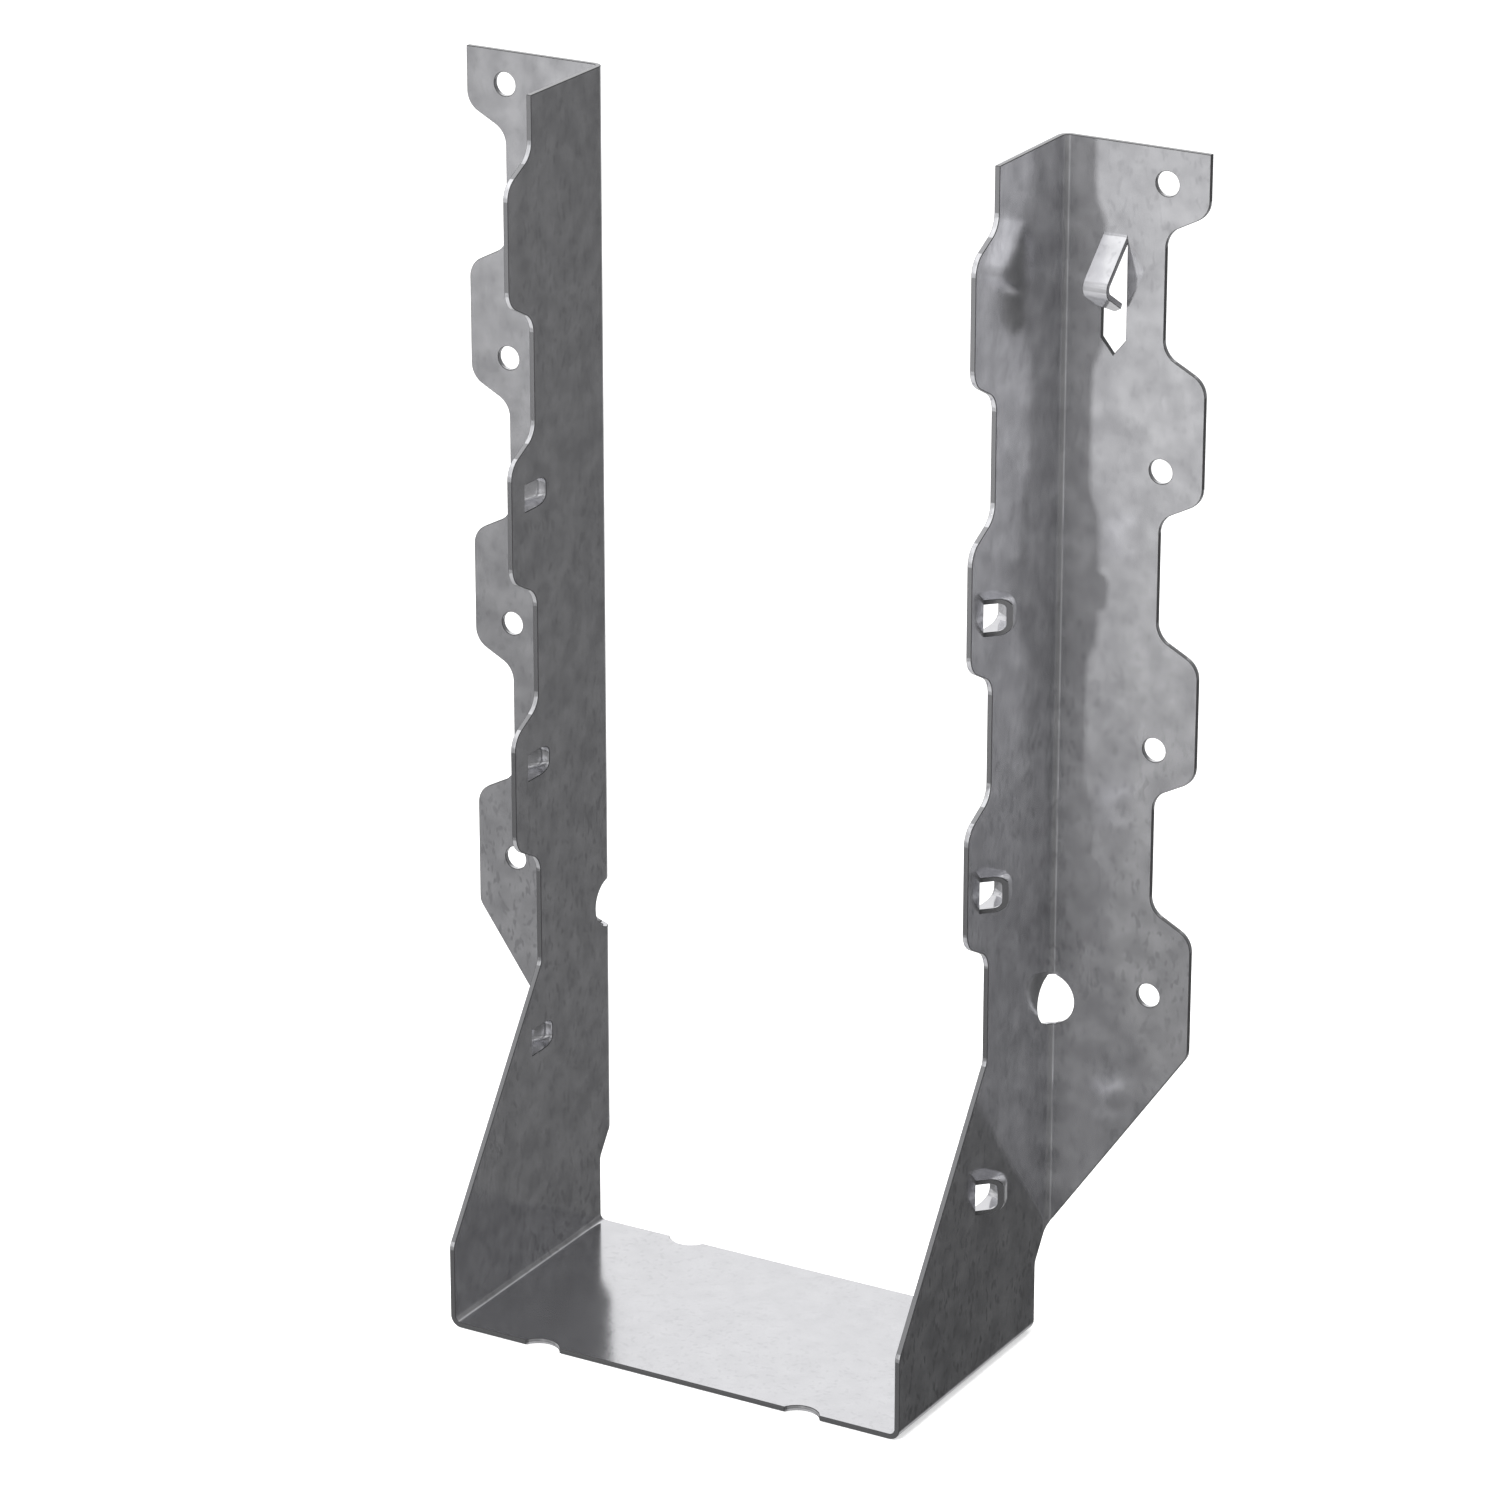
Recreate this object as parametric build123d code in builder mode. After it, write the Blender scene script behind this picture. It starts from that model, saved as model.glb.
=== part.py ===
from build123d import *
import os
from math import cos, floor, pi, radians, sin, sqrt, tan

# Double-shear joist hanger, folded from one blank of galvanised sheet.
# +Z is up, +Y points into the header that carries the joist, and X runs across the joist.
# The origin is on the seat's underside, in the middle of the hanger's width and depth.
# Sizes are in millimetres, angles in degrees.

# Sheet
sheet = 1.0
bend_inside = 1.1

# Overall form
joist_gap = 90.5
height = 222.25
seat_depth = 50.8
seat_setback = 2.9
flange_width = 28.25
side_width = 32.75

# Scalloped edges of the flanges and of the sides
first_step = 12.7
step_pitch = 25.4
step_depth = 8.0
step_slant = 27.5
step_radius = 4.1

# Slanted skirts that lead down to the seat
skirt_angle = 55.0
front_corner_height = 15.9
flange_skirt_height = 20.9
skirt_radius = 2.5
flange_corner_radius = 3.0

# Header nail holes
nail_hole = 4.4
nail_edge = 7.95
first_nail_drop = 6.1
last_nail_rise = 10.1

# Round relief holes across the header bends
relief_hole = 9.5
relief_height = 63.8

# Lanced nail domes of the sides
dome_setback = 28.45
dome_mouth_angle = 45.0
dome_outward = 3.7
dome_crest = 0.3
dome_rear_length = 4.0
dome_half_height = 3.35
dome_corner_radius = 2.0
dome_thickness = 0.85
left_dome_rise = 3.85
right_dome_rise = -2.3
left_low_dome_drop = 14.7
right_low_dome_drop = 24.6

# Speed prongs, folded out of slots in the flanges
prong_width = 4.65
prong_inset = 10.75
prong_hinge_drop = 15.9
prong_out_angle = 43.0
prong_back_angle = 31.0
prong_out_length = 11.95
prong_back_length = 10.7
prong_point = 2.85
prong_bend = 1.0
prong_slot_clearance = 0.3

# Scoops in the seat's front and back edges
scoop_inset = 18.5
scoop_radius = 4.0
scoop_depth = 2.15

# Places that follow from the sizes above. Depths are measured from the header face, towards the joist.
bend_outside = bend_inside + sheet
side_inside = joist_gap / 2
side_outside = side_inside + sheet
flange_start = side_inside + bend_outside
flange_edge = side_inside + flange_width
seat_back = bend_outside + seat_setback
seat_front = seat_back + seat_depth
side_recess = side_width - step_depth
header_y = seat_front / 2

# The skirt line keeps its slope in the flat blank, so it drops by this much round the header bend.
skirt_slope = tan(radians(skirt_angle))
bend_allowance = (bend_inside + sheet / 3) * pi / 2
bend_drop = bend_allowance * skirt_slope
bend_skirt_height = flange_skirt_height - bend_drop
back_corner_height = bend_skirt_height - seat_setback * skirt_slope
flange_corner_height = flange_skirt_height + (flange_edge - flange_start) * skirt_slope
side_corner_height = front_corner_height + (seat_front - side_recess) * skirt_slope

# An even number of steps, because a flange ends in a wide tab where the side ends narrow.
step_rise = step_depth * tan(radians(step_slant))
step_room = step_rise / 2 + step_radius + nail_hole
lowest_step = max(side_corner_height + skirt_radius, flange_corner_height + last_nail_rise) + step_room
step_pairs = floor(((height - first_step - lowest_step) / step_pitch + 1) / 2)
steps = [height - first_step - step_pitch * index for index in range(2 * step_pairs)]

# One nail hole near the top of the flange, then one in each tab below it.
nail_x = flange_edge - nail_edge
nail_levels = [height - first_nail_drop - 2 * step_pitch * index for index in range(step_pairs)]
nail_levels.append(flange_corner_height + last_nail_rise)

# A dome in each bulge of the side but the first, and one in the skirt.
# They are staggered between the two sides, so that the nails pass each other in the joist.
bulge_levels = [steps[2 * index] - step_pitch / 2 for index in range(1, step_pairs)]
left_dome_levels = [level + left_dome_rise for level in bulge_levels]
left_dome_levels.append(side_corner_height - left_low_dome_drop)
right_dome_levels = [level + right_dome_rise for level in bulge_levels]
right_dome_levels.append(side_corner_height - right_low_dome_drop)

# Views whose origin is on the header face: the front view looks from the joist, the side view from -X.
front_view = Plane(origin=(0, header_y, 0), x_dir=(1, 0, 0), z_dir=(0, -1, 0))
side_view = Plane(origin=(0, header_y, 0), x_dir=(0, 1, 0), z_dir=(1, 0, 0))
top_view = Plane(origin=(0, header_y, 0), x_dir=(1, 0, 0), z_dir=(0, 0, 1))


def stepped_edge(first, second):
    """Corners down an edge that changes from one width to the other at each step."""
    corners = []
    for step in steps:
        corners.append((first, step + step_rise / 2))
        corners.append((second, step - step_rise / 2))
        first, second = second, first
    return corners


# Waste under the header bend: its top winds up from the side's skirt to the flange's, and runs past both
waste_turn = 120
with BuildPart() as bend_waste:
    with BuildLine() as skirt_line:
        Helix(4 * bend_drop, bend_drop * waste_turn / 90, bend_inside + sheet / 2, lefthand=True)
    with BuildSketch(Plane.XZ) as waste_section:
        with Locations((bend_inside + sheet / 2, 0)):
            Rectangle(2 * sheet, 2 * bend_drop, align=(Align.CENTER, Align.MAX))
    sweep(path=skirt_line.line, is_frenet=True)

# A nail dome's mouth leans back, square to the nail, and its crown starts where the mouth ends.
dome_crown = dome_outward / tan(radians(dome_mouth_angle))


def dome_section(station, outward, half_height, corner_radius):
    """Section across a nail dome, at a distance behind its cut."""
    with BuildSketch(Plane(origin=(0, station, 0), x_dir=(1, 0, 0), z_dir=(0, 1, 0))) as section:
        with BuildLine():
            FilletPolyline(
                (0, -half_height),
                (outward, -half_height),
                (outward, half_height),
                (0, half_height),
                radius=corner_radius,
            )
            Line((0, half_height), (0, -half_height))
        make_face()
    return section.sketch.face()


def dome_form(outward, half_height, rear_length, corner_radius):
    """A nail dome's form: even as far as the crown's end, then rounded off down to the side."""
    sections = []
    for turn in (0, 25, 50, 70, 83):
        station = dome_crown + dome_crest + rear_length * sin(radians(turn))
        share = cos(radians(turn))
        sections.append(dome_section(station, outward * share, half_height * sqrt(share), corner_radius * share))
    with BuildPart() as form:
        extrude(dome_section(0, outward, half_height, corner_radius), amount=dome_crown + dome_crest)
        loft(sections)
    return form.part


# Skin of a nail dome on the side's outer face, cut off by its mouth
with BuildPart() as dome_skin:
    add(dome_form(dome_outward, dome_half_height, dome_rear_length, dome_corner_radius))
    with BuildSketch(Plane.XY) as mouth_cut:
        with BuildLine():
            Polyline((0, 0), (2 * dome_outward, 2 * dome_crown), (2 * dome_outward, 0), close=True)
        make_face()
    extrude(amount=dome_half_height, both=True, mode=Mode.SUBTRACT)

# Hollow of a nail dome, from the side's inner face to a skin that the press has thinned
dome_hollow = dome_form(
    dome_outward + sheet - dome_thickness,
    dome_half_height - dome_thickness,
    dome_rear_length - dome_thickness,
    dome_corner_radius - dome_thickness,
)

left_dome_skin = mirror(dome_skin.part, about=Plane.YZ)
left_dome_hollow = mirror(dome_hollow, about=Plane.YZ)

# Speed prong of the right flange: out from its hinge, back towards the header, and pointed
hinge_level = height - prong_hinge_drop
hinge_bend = prong_bend * tan(radians(90 - prong_out_angle) / 2)
prong_knee_y = -sheet - prong_out_length * cos(radians(prong_out_angle))
prong_knee_z = hinge_level - hinge_bend - prong_out_length * sin(radians(prong_out_angle))
prong_tip_y = prong_knee_y + prong_back_length * cos(radians(prong_back_angle))
prong_tip_z = prong_knee_z - prong_back_length * sin(radians(prong_back_angle))
prong_x = side_inside + prong_inset
prong_length = hinge_bend + prong_out_length + prong_back_length

# The slot is as long as the prong was before its two bends, and a little longer at the point.
hinge_turn = radians(90 - prong_out_angle)
knee_turn = radians(180 - prong_out_angle - prong_back_angle)
hinge_growth = (prong_bend + sheet / 2) * hinge_turn - 2 * hinge_bend
knee_loss = 2 * (prong_bend + sheet) * tan(knee_turn / 2) - (prong_bend + sheet / 2) * knee_turn
slot_length = prong_length + hinge_bend + hinge_growth - knee_loss + prong_slot_clearance

with BuildPart() as prong:
    with BuildSketch(side_view.offset(prong_x)) as prong_section:
        with BuildLine():
            FilletPolyline(
                (-sheet, hinge_level + sheet),
                (-sheet, hinge_level - hinge_bend),
                (prong_knee_y, prong_knee_z),
                (prong_tip_y, prong_tip_z),
                radius=[prong_bend, prong_bend + sheet],
            )
            offset(amount=sheet, side=Side.LEFT)
        make_face()
    extrude(amount=prong_width / 2, both=True)
    prong_tip = side_view.offset(prong_x).from_local_coords(Vector(prong_tip_y, prong_tip_z))
    with BuildSketch(Plane(prong_tip, x_dir=(1, 0, 0), z_dir=(0, 0, 1)).rotated((-prong_back_angle, 0, 0))):
        with BuildLine():
            Polyline(
                (0, 0),
                (prong_width / 2, -prong_point),
                (prong_width / 2, -prong_length),
                (-prong_width / 2, -prong_length),
                (-prong_width / 2, -prong_point),
                close=True,
            )
        make_face()
    extrude(amount=prong_length, both=True, mode=Mode.INTERSECT)

# Right header flange, with the bend that joins it to the side
with BuildPart() as flange:
    with BuildSketch(top_view.offset(bend_skirt_height)) as bend_section:
        with BuildLine():
            inside_arc = CenterArc((flange_start, -bend_outside), bend_inside, 90, 90)
            outside_arc = CenterArc((flange_start, -bend_outside), bend_outside, 90, 90)
            Line(inside_arc @ 0, outside_arc @ 0)
            Line(inside_arc @ 1, outside_arc @ 1)
        make_face()
    extrude(amount=height - bend_skirt_height)
    waste_overrun = (waste_turn - 90) / 2
    waste_bottom = bend_skirt_height - bend_drop * waste_overrun / 90
    with Locations((flange_start, header_y - bend_outside, waste_bottom)):
        add(bend_waste.part, rotation=(0, 0, 180 + waste_overrun), mode=Mode.SUBTRACT)

    flange_steps = stepped_edge(flange_edge, flange_edge - step_depth)
    with BuildSketch(front_view) as flange_outline:
        with BuildLine():
            FilletPolyline(
                (flange_start, height),
                (flange_edge, height),
                flange_steps,
                (flange_edge, flange_corner_height),
                (flange_start, flange_skirt_height),
                radius=[0, 0] + [step_radius] * len(flange_steps) + [flange_corner_radius, 0],
                close=True,
            )
        make_face()
    extrude(amount=sheet)

    with BuildSketch(front_view) as nail_holes:
        with Locations(*[(nail_x, level) for level in nail_levels]):
            Circle(nail_hole / 2)
    extrude(amount=sheet, mode=Mode.SUBTRACT)

    with BuildSketch(front_view) as prong_slot:
        with BuildLine():
            Polyline(
                (prong_x - prong_width / 2, hinge_level),
                (prong_x + prong_width / 2, hinge_level),
                (prong_x + prong_width / 2, hinge_level - slot_length + prong_point),
                (prong_x, hinge_level - slot_length),
                (prong_x - prong_width / 2, hinge_level - slot_length + prong_point),
                close=True,
            )
        make_face()
    extrude(amount=sheet, mode=Mode.SUBTRACT)
    add(prong.part)

    with BuildSketch(front_view) as flange_relief:
        with Locations((flange_start - bend_allowance / 2, relief_height)):
            Circle(relief_hole / 2)
    extrude(amount=bend_outside, mode=Mode.SUBTRACT)

with BuildPart() as joist_hanger:
    # Seat and sides, bent from one strip, then trimmed to the outline of the sides
    with BuildSketch(front_view.offset(bend_outside)) as channel_section:
        with BuildLine():
            FilletPolyline(
                (-side_inside, height),
                (-side_inside, sheet),
                (side_inside, sheet),
                (side_inside, height),
                radius=bend_inside,
            )
            offset(amount=sheet, side=Side.RIGHT)
        make_face()
    extrude(amount=seat_front - bend_outside)

    side_steps = stepped_edge(-side_recess, -side_width)
    skirt_radii = [skirt_radius, skirt_radius, 0, 0, skirt_radius, 0]
    with BuildSketch(side_view) as side_outline:
        with BuildLine():
            FilletPolyline(
                (-bend_outside, height),
                (-side_recess, height),
                side_steps,
                (-side_recess, side_corner_height),
                (-seat_front, front_corner_height),
                (-seat_front, 0),
                (-seat_back, 0),
                (-seat_back, back_corner_height),
                (-bend_outside, bend_skirt_height),
                radius=[0, 0] + [step_radius] * len(side_steps) + skirt_radii,
                close=True,
            )
        make_face()
    extrude(amount=side_outside, both=True, mode=Mode.INTERSECT)

    # Scoops in the seat's front and back edges
    with BuildSketch(top_view) as scoops:
        for edge in (-seat_front - scoop_radius + scoop_depth, -seat_back + scoop_radius - scoop_depth):
            with Locations((scoop_inset - side_inside, edge), (side_inside - scoop_inset, edge)):
                Circle(scoop_radius)
    extrude(amount=sheet, mode=Mode.SUBTRACT)

    # Header flanges, and the relief holes carried round their bends into the sides
    add(flange.part)
    mirror(flange.part, about=Plane.YZ)
    with BuildSketch(side_view) as side_relief:
        with Locations((bend_allowance / 2 - bend_outside, relief_height)):
            Circle(relief_hole / 2)
    extrude(amount=flange_start, both=True, mode=Mode.SUBTRACT)

    # Nail domes, pressed outwards with their mouths to the front
    dome_y = header_y - dome_setback
    with Locations(*[(side_outside, dome_y, level) for level in right_dome_levels]):
        add(dome_skin.part)
    with Locations(*[(side_inside, dome_y, level) for level in right_dome_levels]):
        add(dome_hollow, mode=Mode.SUBTRACT)
    with Locations(*[(-side_outside, dome_y, level) for level in left_dome_levels]):
        add(left_dome_skin)
    with Locations(*[(-side_inside, dome_y, level) for level in left_dome_levels]):
        add(left_dome_hollow, mode=Mode.SUBTRACT)

joist_hanger.part.label = "joist_hanger"
os.makedirs("parts", exist_ok=True)
export_step(joist_hanger.part, "parts/joist_hanger.step")
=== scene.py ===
from math import pi, radians

import bmesh
import bpy
from mathutils import Matrix, Vector


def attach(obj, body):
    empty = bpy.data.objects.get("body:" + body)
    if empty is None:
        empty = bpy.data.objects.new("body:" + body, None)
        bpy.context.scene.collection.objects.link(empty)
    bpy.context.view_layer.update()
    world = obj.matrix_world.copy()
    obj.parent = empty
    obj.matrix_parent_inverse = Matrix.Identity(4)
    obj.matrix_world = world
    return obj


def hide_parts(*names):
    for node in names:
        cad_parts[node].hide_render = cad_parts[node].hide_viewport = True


# Joist hanger in galvanised sheet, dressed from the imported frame. Sizes are in metres.

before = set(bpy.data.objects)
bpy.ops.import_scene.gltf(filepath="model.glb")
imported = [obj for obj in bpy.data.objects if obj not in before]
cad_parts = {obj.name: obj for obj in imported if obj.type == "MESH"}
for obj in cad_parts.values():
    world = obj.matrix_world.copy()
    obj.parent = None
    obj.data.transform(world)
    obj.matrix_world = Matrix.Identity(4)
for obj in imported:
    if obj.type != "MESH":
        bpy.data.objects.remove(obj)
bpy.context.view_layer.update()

# The sheet's cut edges: sheared and pierced square, with their rims slightly rounded by the zinc
RIM_ROUND = 0.00012
RIM_SEGMENTS = 2
RIM_ANGLE = radians(50)
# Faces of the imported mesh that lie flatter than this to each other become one
FLAT_ANGLE = radians(0.4)
MERGE = 1e-6
# A cut wall is narrower than this, and its rims are at least this share of its outline
CUT_WIDTH = 0.0010
CUT_SHARE = 0.6
# Least upward part of the normal on the seat
SEAT_FACING = 0.9

# The zinc's two colours, and how far the clouds and strokes go from the light one to the dark one
ZINC_LIGHT = (0.722, 0.722, 0.745, 1)
ZINC_DARK = (0.500, 0.500, 0.520, 1)
CLOUD_SHADE = 0.80
SEAT_SHADE = 0.25
# Strokes are stronger low down: their strength below the first height and above the second
STROKE_HEIGHTS = (0.080, 0.135)
STROKE_SHADE = (0.85, 0.35)

# The zinc's shine
ZINC_METAL = 0.84
SEAT_METAL = 0.96
ZINC_ROUGH = (0.140, 0.150)
STROKE_ROUGH = 0.02

# Cut walls are duller and darker steel. Rims are duller, and their colour is painted dark: painted shade that
# holds back the highlights the rims would catch
CUT_COLOUR = (0.31, 0.31, 0.32, 1)
CUT_ROUGH = 0.16
RIM_STEEL_AND_PAINTED_SHADE = (0.13, 0.13, 0.135, 1)
RIM_ROUGH = 0.55

# Fineness of the marks, and the part of each noise's range that shows
CLOUD_SCALE = 230.0
CLOUD_DETAIL = 2.0
CLOUD_SOFTNESS = 0.45
CLOUD_RANGE = (0.3, 0.7)
PATCH_SCALE = 24.0
PATCH_DETAIL = 1.0
PATCH_RANGE = (0.38, 0.58)
PATCH_LEAST = 0.45
STROKE_SCALE = 840.0
STROKE_DETAIL = 1.5
STROKE_RANGE = (0.61, 0.68)
STROKE_STRETCH = 0.50
# Leans of the two sets of strokes in degrees, and how far a set moves for each degree
STROKE_LEAN = (44, -50)
STROKE_MOVE = 0.01
EVEN_SOFTNESS = 0.5

# Height of the clouds, and of the strokes as a share of it
CLOUD_DEPTH = 0.000006
STROKE_DEPTH = 0.25

# The white ground
FLOOR_PAINT = (0.96, 0.96, 0.96, 1)
FLOOR_ROUGH = 0.9
FLOOR_WHITE = 0.45
FLOOR_REACH = 6
FLOOR_DROP = 0.0003

# The small front lamp, and the card below its beam that fades it towards the foot
LAMP_PLACE = (-0.105, -0.60, 0.19)
LAMP_AIM = (0.030, 0.0, 0.157)
LAMP_RADIUS = 0.0175
LAMP_CONE = 29.0
LAMP_BLEND = 0.9
LAMP_POWER = 42.0
FLAG_CENTRE = (-0.078, -0.46, 0.131)
FLAG_SIZE = (0.11, 0.09)
FLAG_TILT = 16.0

# The soft panel high in front
PANEL_PLACE = (0.06, -0.95, 0.72)
PANEL_AIM = (0.06, 0.0, 0.16)
PANEL_SIZE = 0.45
PANEL_POWER = 17.0

# Level of the surroundings by bearing in degrees, from the rear towards the right, below and above eye height
SCREENS_LOW = (
    (-180, 0.36), (-165, 0.20), (-145, 0.19), (-90, 0.48), (-30, 0.74), (-10, 0.68), (0, 0.58), (10, 0.48),
    (20, 0.26), (27, 0.078), (34, 0.205), (60, 0.16), (120, 0.15), (155, 0.15), (170, 0.28), (180, 0.36),
)
SCREENS_HIGH = (
    (-180, 1.00), (-165, 0.82), (-150, 0.53), (-90, 0.95), (-30, 1.00), (-15, 1.00), (0, 0.48), (10, 0.28),
    (25, 0.105), (60, 0.13), (90, 0.165), (150, 0.30), (165, 0.82), (180, 1.00),
)
OVERHEAD = (0.96, 0.96, 0.96, 1)
GROUND = (0.60, 0.60, 0.60, 1)
# Where one level turns into the next, by the upward part of the direction
EYE_TURN = (-0.05, 0.15)
OVERHEAD_TURN = (0.60, 0.86)
FOOT_TURN = (-0.45, -0.405)
FOOT_SHADE = 0.5
GROUND_TURN = (-0.60, -0.52)

WHITE = (1, 1, 1, 1)

# Camera at the photograph's angle
CAMERA_PLACE = (0.51505, -0.89356, 0.50219)
CAMERA_AZIMUTH = 29.95
CAMERA_ELEVATION = 20.77
LENS = 151.22
SENSOR = 36
NEAR_CLIP = 0.01


def is_rim(edge):
    """True for an outward square edge of the sheet, where a cut wall meets a face."""
    return len(edge.link_faces) == 2 and edge.is_convex and edge.calc_face_angle(0) > RIM_ANGLE


def is_cut_wall(face, rims):
    """True for a narrow face whose long edges are rims: the wall that shears or punch left."""
    around = face.calc_perimeter()
    cut = sum(edge.calc_length() for edge in face.edges if edge in rims)
    return 2 * face.calc_area() < CUT_WIDTH * around and cut > CUT_SHARE * around


def hanger_sheet():
    """The folded sheet as one closed mesh with rounded rims. Attributes mark its cut walls, rims and seat."""
    bm = bmesh.new()
    bm.from_mesh(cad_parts["joist_hanger"].data)
    bmesh.ops.remove_doubles(bm, verts=bm.verts, dist=MERGE)
    bmesh.ops.dissolve_limit(bm, angle_limit=FLAT_ANGLE, verts=bm.verts, edges=bm.edges)
    rims = {edge for edge in bm.edges if is_rim(edge)}
    cut_wall = bm.faces.layers.float.new("cut_wall")
    rim = bm.faces.layers.float.new("rim")
    seat = bm.faces.layers.float.new("seat")
    for face in bm.faces:
        face[cut_wall] = 1.0 if is_cut_wall(face, rims) else 0.0
        face[seat] = 1.0 if face.normal.z > SEAT_FACING else 0.0
    rounded = bmesh.ops.bevel(
        bm,
        geom=list(rims),
        affect="EDGES",
        offset=RIM_ROUND,
        offset_type="OFFSET",
        segments=RIM_SEGMENTS,
        profile=0.5,
        material=-1,
        clamp_overlap=False,
    )
    for face in rounded["faces"]:
        face[cut_wall] = 0.0
        face[rim] = 1.0
    for face in bm.faces:
        face.smooth = True
    for edge in bm.edges:
        edge.smooth = edge.calc_face_angle(0) < RIM_ANGLE
    mesh = bpy.data.meshes.new("hanger_sheet")
    bm.to_mesh(mesh)
    bm.free()
    sheet = bpy.data.objects.new("hanger_sheet", mesh)
    bpy.context.scene.collection.objects.link(sheet)
    even = sheet.modifiers.new("flat faces stay flat", "WEIGHTED_NORMAL")
    even.keep_sharp = True
    even.mode = "FACE_AREA"
    return sheet


def group_socket(group, name, way, value=None):
    """A socket for a number on a node group."""
    socket = group.interface.new_socket(name=name, in_out=way, socket_type="NodeSocketFloat")
    if value is not None:
        socket.default_value = value


def node(tree, kind, inputs=None, **settings):
    """A node in a tree, with its inputs set by name or number and its other settings by name."""
    made = tree.nodes.new(kind)
    for name, value in settings.items():
        setattr(made, name, value)
    for key, given in (inputs or {}).items():
        if isinstance(given, bpy.types.NodeSocket):
            tree.links.new(given, made.inputs[key])
        else:
            made.inputs[key].default_value = given
    return made


def ranged(tree, value, low, high, to_low=0.0, to_high=1.0, smooth=False):
    """A value taken from one range to another, held at both ends."""
    made = node(
        tree,
        "ShaderNodeMapRange",
        inputs={"Value": value, "From Min": low, "From Max": high, "To Min": to_low, "To Max": to_high},
    )
    if smooth:
        made.interpolation_type = "SMOOTHSTEP"
    return made.outputs["Result"]


def combined(tree, operation, first, second):
    """Two values combined."""
    return node(tree, "ShaderNodeMath", inputs={0: first, 1: second}, operation=operation).outputs[0]


def blended(tree, share, first, second):
    """A colour between two others."""
    made = node(tree, "ShaderNodeMix", data_type="RGBA")
    for key, given in ((0, share), (6, first), (7, second)):
        if isinstance(given, bpy.types.NodeSocket):
            tree.links.new(given, made.inputs[key])
        else:
            made.inputs[key].default_value = given
    return made.outputs[2]


def zinc_marks():
    """Node group: the marks of hot-dip zinc, as clouds and short leaning strokes that come in patches."""
    group = bpy.data.node_groups.new("zinc_marks", "ShaderNodeTree")
    scales = {"Cloud Scale": CLOUD_SCALE, "Stroke Scale": STROKE_SCALE, "Patch Scale": PATCH_SCALE}
    for name, value in scales.items():
        group_socket(group, name, "INPUT", value)
    for name in ("Cloud", "Stroke"):
        group_socket(group, name, "OUTPUT")
    given = group.nodes.new("NodeGroupInput")
    place = node(group, "ShaderNodeTexCoord").outputs["Object"]
    cloud = node(
        group,
        "ShaderNodeTexNoise",
        inputs={
            "Vector": place,
            "Scale": given.outputs["Cloud Scale"],
            "Detail": CLOUD_DETAIL,
            "Roughness": CLOUD_SOFTNESS,
        },
    )
    strokes = None
    for lean in STROKE_LEAN:
        turned = node(
            group,
            "ShaderNodeMapping",
            inputs={
                "Vector": place,
                "Location": (STROKE_MOVE * lean, 0, 0),
                "Rotation": (radians(lean), radians(lean), 0),
                "Scale": (1, 1, STROKE_STRETCH),
            },
            vector_type="POINT",
        )
        dash = node(
            group,
            "ShaderNodeTexNoise",
            inputs={
                "Vector": turned.outputs["Vector"],
                "Scale": given.outputs["Stroke Scale"],
                "Detail": STROKE_DETAIL,
                "Roughness": EVEN_SOFTNESS,
            },
        )
        one = ranged(group, dash.outputs["Fac"], *STROKE_RANGE)
        strokes = one if strokes is None else combined(group, "MAXIMUM", strokes, one)
    patch = node(
        group,
        "ShaderNodeTexNoise",
        inputs={
            "Vector": place,
            "Scale": given.outputs["Patch Scale"],
            "Detail": PATCH_DETAIL,
            "Roughness": EVEN_SOFTNESS,
        },
    )
    height = node(group, "ShaderNodeSeparateXYZ", inputs={0: place}).outputs["Z"]
    share = ranged(group, height, *STROKE_HEIGHTS, *STROKE_SHADE, smooth=True)
    patches = ranged(group, patch.outputs["Fac"], *PATCH_RANGE, PATCH_LEAST, 1.0)
    share = combined(group, "MULTIPLY", share, patches)
    sink = group.nodes.new("NodeGroupOutput")
    group.links.new(ranged(group, cloud.outputs["Fac"], *CLOUD_RANGE), sink.inputs["Cloud"])
    group.links.new(combined(group, "MULTIPLY", strokes, share), sink.inputs["Stroke"])
    return group


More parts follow.
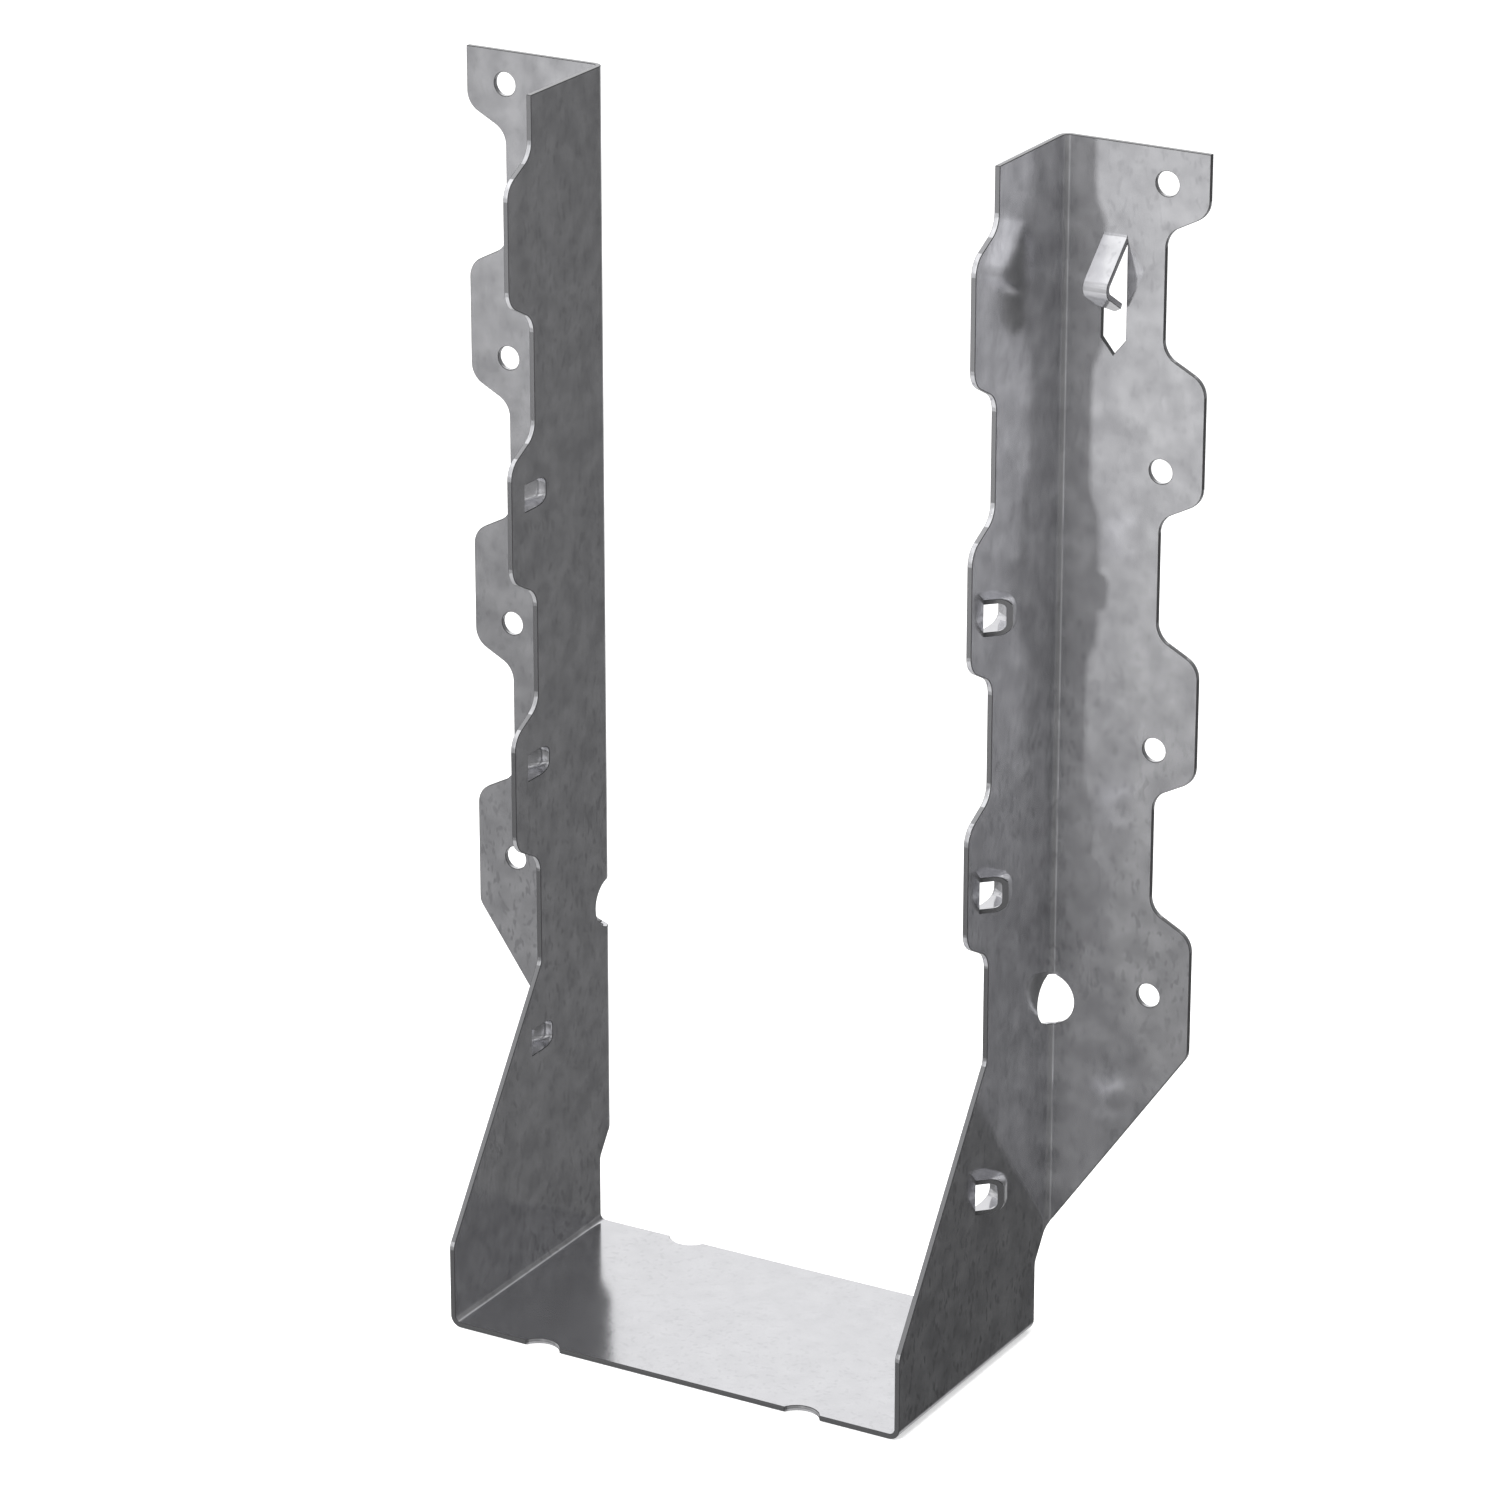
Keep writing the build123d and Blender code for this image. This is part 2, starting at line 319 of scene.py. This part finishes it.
def galvanised_steel():
    """Hot-dip galvanised sheet: smooth bright zinc with a faint mottle, duller on its cut walls and rims, with
    the rims' colour painted dark as painted shade against their highlights.
    """
    material = bpy.data.materials.new("galvanised_steel_finish")
    material.use_nodes = True
    tree = material.node_tree
    tree.nodes.clear()
    marks = node(tree, "ShaderNodeGroup", node_tree=zinc_marks())
    cut = node(tree, "ShaderNodeAttribute", attribute_name="cut_wall").outputs["Fac"]
    rim = node(tree, "ShaderNodeAttribute", attribute_name="rim").outputs["Fac"]
    shade = ranged(tree, marks.outputs["Cloud"], 0.0, 1.0, CLOUD_SHADE, 0.0)
    shade = combined(tree, "ADD", shade, marks.outputs["Stroke"])
    seat = node(tree, "ShaderNodeAttribute", attribute_name="seat").outputs["Fac"]
    shade = combined(tree, "MULTIPLY", shade, ranged(tree, seat, 0.0, 1.0, 1.0, SEAT_SHADE))
    colour = blended(tree, shade, ZINC_LIGHT, ZINC_DARK)
    colour = blended(tree, cut, colour, CUT_COLOUR)
    # Rims take a painted dark colour: painted shade that holds back their highlights.
    colour = blended(tree, rim, colour, RIM_STEEL_AND_PAINTED_SHADE)
    rough = ranged(tree, marks.outputs["Cloud"], 0.0, 1.0, *ZINC_ROUGH)
    rough = combined(tree, "SUBTRACT", rough, combined(tree, "MULTIPLY", marks.outputs["Stroke"], STROKE_ROUGH))
    rough = combined(tree, "MAXIMUM", rough, combined(tree, "MULTIPLY", cut, CUT_ROUGH))
    rough = combined(tree, "MAXIMUM", rough, combined(tree, "MULTIPLY", rim, RIM_ROUGH))
    height = combined(tree, "MULTIPLY", marks.outputs["Stroke"], -STROKE_DEPTH)
    height = combined(tree, "ADD", height, marks.outputs["Cloud"])
    bump = node(tree, "ShaderNodeBump", inputs={"Height": height, "Strength": 1.0, "Distance": CLOUD_DEPTH})
    metal = node(
        tree,
        "ShaderNodeBsdfPrincipled",
        inputs={
            "Base Color": colour,
            "Metallic": ranged(tree, seat, 0.0, 1.0, ZINC_METAL, SEAT_METAL),
            "Roughness": rough,
            "Normal": bump.outputs["Normal"],
        },
    )
    node(tree, "ShaderNodeOutputMaterial", inputs={"Surface": metal.outputs["BSDF"]})
    return material


def plain_floor():
    """A pale floor just under the hanger, shown whiter to the camera. Metal doesn't mirror it."""
    bm = bmesh.new()
    bmesh.ops.create_grid(bm, x_segments=1, y_segments=1, size=FLOOR_REACH)
    mesh = bpy.data.meshes.new("floor")
    bm.to_mesh(mesh)
    bm.free()
    floor = bpy.data.objects.new("floor", mesh)
    bpy.context.scene.collection.objects.link(floor)
    floor.location = (0, 0, -FLOOR_DROP)
    material = bpy.data.materials.new("floor_paint")
    material.use_nodes = True
    tree = material.node_tree
    paint = tree.nodes["Principled BSDF"]
    paint.inputs["Base Color"].default_value = FLOOR_PAINT
    paint.inputs["Roughness"].default_value = FLOOR_ROUGH
    paint.inputs["Specular IOR Level"].default_value = 0.0
    paint.inputs["Emission Color"].default_value = WHITE
    seen = node(tree, "ShaderNodeLightPath").outputs["Is Camera Ray"]
    tree.links.new(combined(tree, "MULTIPLY", seen, FLOOR_WHITE), paint.inputs["Emission Strength"])
    mesh.materials.append(material)
    floor.visible_glossy = False
    floor.visible_diffuse = False


def turning_ramp(tree, bearing, stops):
    """A level by bearing, from stops given in degrees clockwise from the part's rear."""
    ramp = node(tree, "ShaderNodeValToRGB", inputs={"Fac": bearing})
    elements = ramp.color_ramp.elements
    for degrees, level in stops[1:-1]:
        elements.new(degrees / 360 + 0.5).color = (level, level, level, 1)
    for element, (_, level) in ((elements[0], stops[0]), (elements[-1], stops[-1])):
        element.color = (level, level, level, 1)
    return ramp.outputs["Color"]


def studio_world():
    """Soft studio light: grey screens all round, white overhead and a grey ground, all white to the camera."""
    world = bpy.data.worlds.new("studio")
    bpy.context.scene.world = world
    world.use_nodes = True
    tree = world.node_tree
    tree.nodes.clear()
    way = node(tree, "ShaderNodeTexCoord").outputs["Generated"]
    across, along, up = node(tree, "ShaderNodeSeparateXYZ", inputs={0: way}).outputs
    turn = combined(tree, "ARCTAN2", across, along)
    bearing = ranged(tree, turn, -pi, pi)
    low = turning_ramp(tree, bearing, SCREENS_LOW)
    high = turning_ramp(tree, bearing, SCREENS_HIGH)
    foot = ranged(tree, up, *FOOT_TURN, FOOT_SHADE, 1.0)
    low = node(tree, "ShaderNodeVectorMath", inputs={0: low, "Scale": foot}, operation="SCALE").outputs[0]
    walls = blended(tree, ranged(tree, up, *EYE_TURN, smooth=True), low, high)
    room = blended(tree, ranged(tree, up, *OVERHEAD_TURN, smooth=True), walls, OVERHEAD)
    room = blended(tree, ranged(tree, up, *GROUND_TURN, 1.0, 0.0), room, GROUND)
    seen = node(tree, "ShaderNodeLightPath").outputs["Is Camera Ray"]
    shown = blended(tree, seen, room, WHITE)
    back = node(tree, "ShaderNodeBackground", inputs={"Color": shown, "Strength": 1.0})
    node(tree, "ShaderNodeOutputWorld", inputs={"Surface": back.outputs["Background"]})


def soft_lamp(name, place, aim, radius, cone, blend, power):
    """A lamp with a soft-edged beam at a place, aimed at a point. Metal doesn't mirror it."""
    data = bpy.data.lights.new(name, "SPOT")
    data.shadow_soft_size = radius
    data.spot_size = radians(cone)
    data.spot_blend = blend
    data.energy = power
    lamp = bpy.data.objects.new(name, data)
    bpy.context.scene.collection.objects.link(lamp)
    lamp.location = place
    lamp.rotation_euler = (Vector(aim) - Vector(place)).to_track_quat("-Z", "Y").to_euler()
    lamp.visible_camera = False
    lamp.visible_glossy = False


def soft_panel(name, place, aim, size, power):
    """A square panel of soft light at a place, aimed at a point. Metal doesn't mirror it."""
    data = bpy.data.lights.new(name, "AREA")
    data.size = size
    data.energy = power
    panel = bpy.data.objects.new(name, data)
    bpy.context.scene.collection.objects.link(panel)
    panel.location = place
    panel.rotation_euler = (Vector(aim) - Vector(place)).to_track_quat("-Z", "Y").to_euler()
    panel.visible_camera = False
    panel.visible_glossy = False


def lamp_flag():
    """A small card under the lamp's beam, which fades it softly towards the foot. Only shadows show it."""
    bm = bmesh.new()
    bmesh.ops.create_grid(bm, x_segments=1, y_segments=1, size=0.5)
    bmesh.ops.scale(bm, verts=bm.verts, vec=(*FLAG_SIZE, 1))
    bmesh.ops.rotate(bm, verts=bm.verts, matrix=Matrix.Rotation(radians(90), 3, "X"))
    mesh = bpy.data.meshes.new("lamp_flag")
    bm.to_mesh(mesh)
    bm.free()
    flag = bpy.data.objects.new("lamp_flag", mesh)
    bpy.context.scene.collection.objects.link(flag)
    flag.location = FLAG_CENTRE
    flag.rotation_euler = (0, radians(FLAG_TILT), 0)
    flag.visible_camera = False
    flag.visible_glossy = False
    flag.visible_diffuse = False


def photo_camera():
    """The camera at the photograph's viewing angle."""
    data = bpy.data.cameras.new("camera")
    data.lens = LENS
    data.sensor_width = SENSOR
    data.clip_start = NEAR_CLIP
    camera = bpy.data.objects.new("camera", data)
    bpy.context.scene.collection.objects.link(camera)
    camera.location = CAMERA_PLACE
    camera.rotation_euler = (radians(90 - CAMERA_ELEVATION), 0, radians(CAMERA_AZIMUTH))
    bpy.context.scene.camera = camera


sheet = hanger_sheet()
sheet.data.materials.append(galvanised_steel())
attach(sheet, "root")
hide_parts("joist_hanger")

plain_floor()
studio_world()
soft_lamp("front_lamp", LAMP_PLACE, LAMP_AIM, LAMP_RADIUS, LAMP_CONE, LAMP_BLEND, LAMP_POWER)
lamp_flag()
soft_panel("front_panel", PANEL_PLACE, PANEL_AIM, PANEL_SIZE, PANEL_POWER)
photo_camera()
bpy.context.scene.view_settings.view_transform = "Standard"
